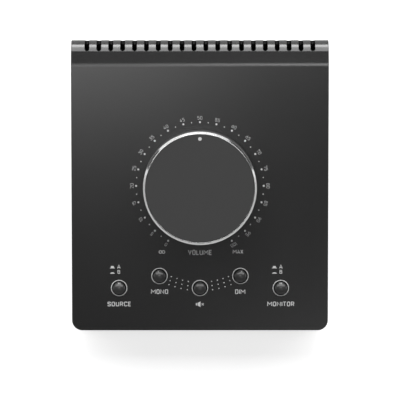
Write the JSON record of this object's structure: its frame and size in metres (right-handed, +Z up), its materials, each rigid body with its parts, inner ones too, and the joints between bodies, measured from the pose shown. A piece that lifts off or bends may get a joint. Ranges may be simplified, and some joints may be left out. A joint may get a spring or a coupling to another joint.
{
  "type": "studio monitor controller",
  "caption": "Desktop wedge with a large volume knob, push buttons, a vented rear bend and a row of audio sockets at the back; switches and levels studio speakers.",
  "frame": {"origin": "on the desk, under the middle of the case", "axes": "+Z up, +X to the right as seen from the front, +Y from the front edge to the rear sockets"},
  "size_m": [0.134, 0.1508, 0.0676],
  "materials": {
    "painted_steel": "satin",
    "black_steel": "satin",
    "soft_touch": "matte",
    "bright_cut": "bright",
    "pale_ink": "matte",
    "gloss_black": "gloss",
    "black_plastic": "satin",
    "grey_plastic": "matte",
    "nickel": "bright",
    "zinc_steel": "satin",
    "black_screw": "satin",
    "board_green": "satin",
    "rubber": "matte",
    "ribbon_grey": "satin"
  },
  "bodies": {
    "case": {"top_cover": "painted_steel", "bottom_tray": "black_steel", "rear_panel": "black_steel", "foot_front_left": "rubber", "cover_screw_front_left": "black_screw", "foot_front_right": "rubber", "cover_screw_front_right": "black_screw", "foot_rear_left": "rubber", "cover_screw_rear_left": "black_screw", "foot_rear_right": "rubber", "cover_screw_rear_right": "black_screw", "rear_panel_screw_left": "black_screw", "rear_panel_screw_right": "black_screw", "pot_housing": "zinc_steel", "pot_washer": "zinc_steel", "pot_nut": "nickel", "control_board": "board_green", "switch_housing_source": "black_plastic", "switch_housing_mono": "black_plastic", "switch_housing_mute": "black_plastic", "switch_housing_dim": "black_plastic", "switch_housing_speaker": "black_plastic", "board_standoff_left": "nickel", "board_screw_left": "zinc_steel", "board_standoff_right": "nickel", "board_screw_right": "zinc_steel", "combo_socket_input_left": "black_plastic", "combo_core_input_left": "black_plastic", "jack_input_left": "black_plastic", "jack_nut_input_left": "nickel", "combo_socket_input_right": "black_plastic", "combo_core_input_right": "black_plastic", "jack_input_right": "black_plastic", "jack_nut_input_right": "nickel", "plug_socket_output_left": "black_plastic", "jack_output_left": "black_plastic", "jack_nut_output_left": "nickel", "plug_socket_output_right": "black_plastic", "jack_output_right": "black_plastic", "jack_nut_output_right": "nickel", "socket_board": "board_green", "ribbon_cable": "ribbon_grey", "ribbon_plug_control": "black_plastic", "ribbon_plug_sockets": "black_plastic"},
    "knob": {"knob_body": "soft_touch", "knob_rim": "bright_cut", "knob_pointer": "pale_ink", "pot_shaft": "nickel"},
    "source_button": {"button_source": "gloss_black", "switch_plunger_source": "grey_plastic"},
    "mono_button": {"button_mono": "gloss_black", "switch_plunger_mono": "grey_plastic"},
    "mute_button": {"button_mute": "gloss_black", "switch_plunger_mute": "grey_plastic"},
    "dim_button": {"button_dim": "gloss_black", "switch_plunger_dim": "grey_plastic"},
    "speaker_button": {"button_speaker": "gloss_black", "switch_plunger_speaker": "grey_plastic"}
  },
  "joints": [
    {"name": "knob_turn", "type": "hinge", "parent": "case", "child": "knob", "pos_m": [0, -0.00057, 0.04602], "axis": [0, -0.1736, 0.9848], "range_deg": [-150, 150]},
    {"name": "source_press", "type": "slide", "parent": "case", "child": "source_button", "axis": [0, 0.1736, -0.9848], "range_m": [0, 0.0025], "stiffness_N_per_m": 600, "springref_m": -0.001},
    {"name": "mono_press", "type": "slide", "parent": "case", "child": "mono_button", "axis": [0, 0.1736, -0.9848], "range_m": [0, 0.0025], "stiffness_N_per_m": 600, "springref_m": -0.001},
    {"name": "mute_press", "type": "slide", "parent": "case", "child": "mute_button", "axis": [0, 0.1736, -0.9848], "range_m": [0, 0.0025], "stiffness_N_per_m": 600, "springref_m": -0.001},
    {"name": "dim_press", "type": "slide", "parent": "case", "child": "dim_button", "axis": [0, 0.1736, -0.9848], "range_m": [0, 0.0025], "stiffness_N_per_m": 600, "springref_m": -0.001},
    {"name": "speaker_press", "type": "slide", "parent": "case", "child": "speaker_button", "axis": [0, 0.1736, -0.9848], "range_m": [0, 0.0025], "stiffness_N_per_m": 600, "springref_m": -0.001}
  ]
}
